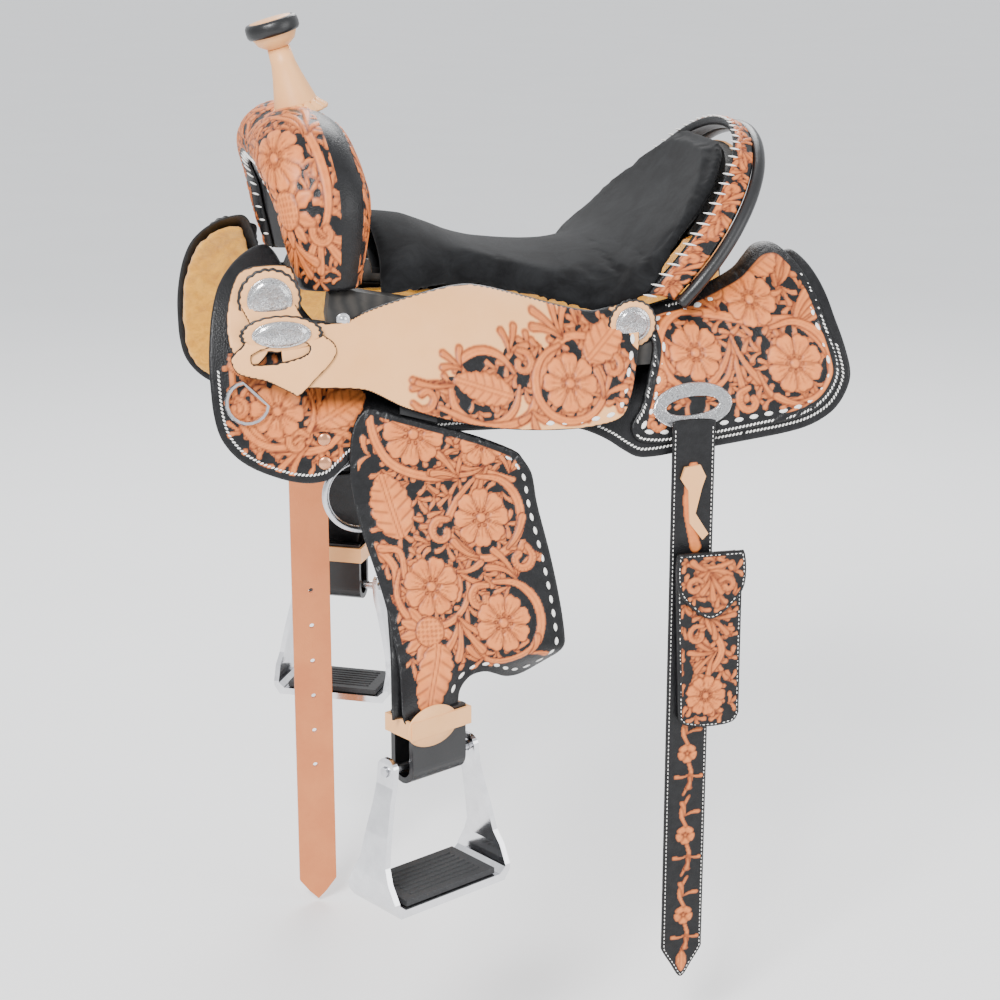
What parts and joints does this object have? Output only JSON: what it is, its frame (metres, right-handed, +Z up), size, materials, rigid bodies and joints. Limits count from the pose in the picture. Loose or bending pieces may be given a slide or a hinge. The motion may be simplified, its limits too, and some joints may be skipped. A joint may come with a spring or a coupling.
{
  "type": "western saddle",
  "caption": "Western riding saddle with horn, swell fork, padded seat, raised cantle, hanging fenders with metal stirrups, rigging rings and a flank billet with a small pouch.",
  "frame": {"origin": "middle of the horse's back, straight under the lowest point of the seat", "axes": "+X towards the horse's tail, -Y towards its near (left) side, +Z up"},
  "size_m": [0.6418, 0.6982, 1.0686],
  "materials": {
    "plain_leather": "smooth light tan, semi-matte",
    "carved_leather": "floral carving, dyed edges",
    "latigo_leather": "oiled",
    "black_leather": "semi-gloss",
    "suede": "rough nap",
    "fleece": "woolskin",
    "wood": "plain",
    "engraved_silver": "engraved and polished",
    "steel": "satin",
    "polished_aluminium": "polished",
    "rubber": "ribbed"
  },
  "bodies": {
    "saddle": {"horn_core": "steel", "horn_neck_cover": "plain_leather", "horn_cap": "plain_leather", "horn_cap_rim": "black_leather", "fork": "wood", "swell_cover": "carved_leather", "gullet_cover": "black_leather", "cantle_board": "wood", "cantle_roll": "carved_leather", "cantle_binding": "black_leather", "cantle_back": "carved_leather", "ground_seat": "latigo_leather", "suede_seat": "suede", "tree_bar_near": "wood", "tree_bar_off": "wood", "seat_jockey_near": "plain_leather", "seat_jockey_off": "plain_leather", "front_jockey_near": "plain_leather", "front_jockey_off": "plain_leather", "latigo_keeper_near": "plain_leather", "latigo_keeper_off": "plain_leather", "skirt_near": "black_leather", "skirt_off": "black_leather", "fleece_lining_near": "fleece", "fleece_lining_off": "fleece", "rear_housing_near": "carved_leather", "rear_housing_off": "carved_leather", "rear_rigging_plate_near": "engraved_silver", "rear_rigging_plate_off": "engraved_silver", "front_concho_near": "engraved_silver", "front_concho_off": "engraved_silver", "oval_concho_near": "engraved_silver", "oval_concho_off": "engraved_silver", "seat_concho_near": "engraved_silver", "seat_concho_off": "engraved_silver", "rigging_strap_near": "black_leather", "rigging_strap_off": "black_leather"},
    "leather_near": {"stirrup_leather_near": "black_leather"},
    "fender_near": {"fender_near": "carved_leather", "hobble_strap_near": "plain_leather"},
    "loop_near": {"leather_loop_near": "black_leather"},
    "stirrup_near": {"stirrup_bow_near": "polished_aluminium", "stirrup_bolt_near": "steel", "stirrup_tread_near": "rubber"},
    "ring_near": {"rigging_ring_near": "steel"},
    "dee_near": {"breast_dee_near": "steel"},
    "leather_off": {"stirrup_leather_off": "black_leather"},
    "fender_off": {"fender_off": "carved_leather", "hobble_strap_off": "plain_leather"},
    "loop_off": {"leather_loop_off": "black_leather"},
    "stirrup_off": {"stirrup_bow_off": "polished_aluminium", "stirrup_bolt_off": "steel", "stirrup_tread_off": "rubber"},
    "ring_off": {"rigging_ring_off": "steel"},
    "dee_off": {"breast_dee_off": "steel"},
    "off_billet": {"off_billet": "latigo_leather"},
    "flank_billet": {"flank_billet": "black_leather", "lace_tie": "plain_leather", "pouch": "carved_leather"},
    "pouch_flap": {"pouch_flap": "carved_leather"}
  },
  "joints": [
    {"name": "fender_swing_near", "type": "hinge", "parent": "saddle", "child": "leather_near", "pos_m": [-0.128, -0.195, -0.02], "axis": [0, 1, 0], "range_deg": [-9, 20]},
    {"name": "fender_lift_near", "type": "hinge", "parent": "leather_near", "child": "fender_near", "pos_m": [-0.105, -0.199, -0.037], "axis": [-0.9653, 0, 0.2611], "range_deg": [0, 35]},
    {"name": "stirrup_length_near", "type": "slide", "parent": "fender_near", "child": "loop_near", "axis": [0, 0, -1], "range_m": [0, 0.06]},
    {"name": "stirrup_turn_near", "type": "hinge", "parent": "loop_near", "child": "stirrup_near", "pos_m": [-0.137, -0.282, -0.354], "axis": [0.8832, 0.4691, 0], "range_deg": [-15, 40]},
    {"name": "ring_swing_near", "type": "hinge", "parent": "saddle", "child": "ring_near", "pos_m": [-0.184, -0.188, -0.075], "axis": [0, 1, 0], "range_deg": [-20, 20]},
    {"name": "dee_flip_near", "type": "hinge", "parent": "saddle", "child": "dee_near", "pos_m": [-0.2842, -0.1906, -0.0033], "axis": [-0.7023, 0.1701, 0.6913], "range_deg": [0, 90]},
    {"name": "fender_swing_off", "type": "hinge", "parent": "saddle", "child": "leather_off", "pos_m": [-0.128, 0.195, -0.02], "axis": [0, 1, 0], "range_deg": [-9, 20]},
    {"name": "fender_lift_off", "type": "hinge", "parent": "leather_off", "child": "fender_off", "pos_m": [-0.105, 0.199, -0.037], "axis": [0.9653, 0, -0.2611], "range_deg": [0, 35]},
    {"name": "stirrup_length_off", "type": "slide", "parent": "fender_off", "child": "loop_off", "axis": [0, 0, -1], "range_m": [0, 0.06]},
    {"name": "stirrup_turn_off", "type": "hinge", "parent": "loop_off", "child": "stirrup_off", "pos_m": [-0.137, 0.282, -0.354], "axis": [0.8832, -0.4691, 0], "range_deg": [-15, 40]},
    {"name": "ring_swing_off", "type": "hinge", "parent": "saddle", "child": "ring_off", "pos_m": [-0.184, 0.188, -0.075], "axis": [0, 1, 0], "range_deg": [-5, 20]},
    {"name": "dee_flip_off", "type": "hinge", "parent": "saddle", "child": "dee_off", "pos_m": [-0.2842, 0.1906, -0.0033], "axis": [0.7023, 0.1701, -0.6913], "range_deg": [0, 90]},
    {"name": "off_billet_swing", "type": "hinge", "parent": "ring_off", "child": "off_billet", "pos_m": [-0.184, 0.188, -0.145], "axis": [1, 0, 0], "range_deg": [-40, 10]},
    {"name": "flank_billet_swing", "type": "hinge", "parent": "saddle", "child": "flank_billet", "pos_m": [0.146, -0.2205, -0.044], "axis": [-1, 0, 0], "range_deg": [0, 60]},
    {"name": "pouch_flap_open", "type": "hinge", "parent": "flank_billet", "child": "pouch_flap", "pos_m": [0.164, -0.2348, -0.179], "axis": [-1, 0, 0], "range_deg": [0, 150]}
  ]
}
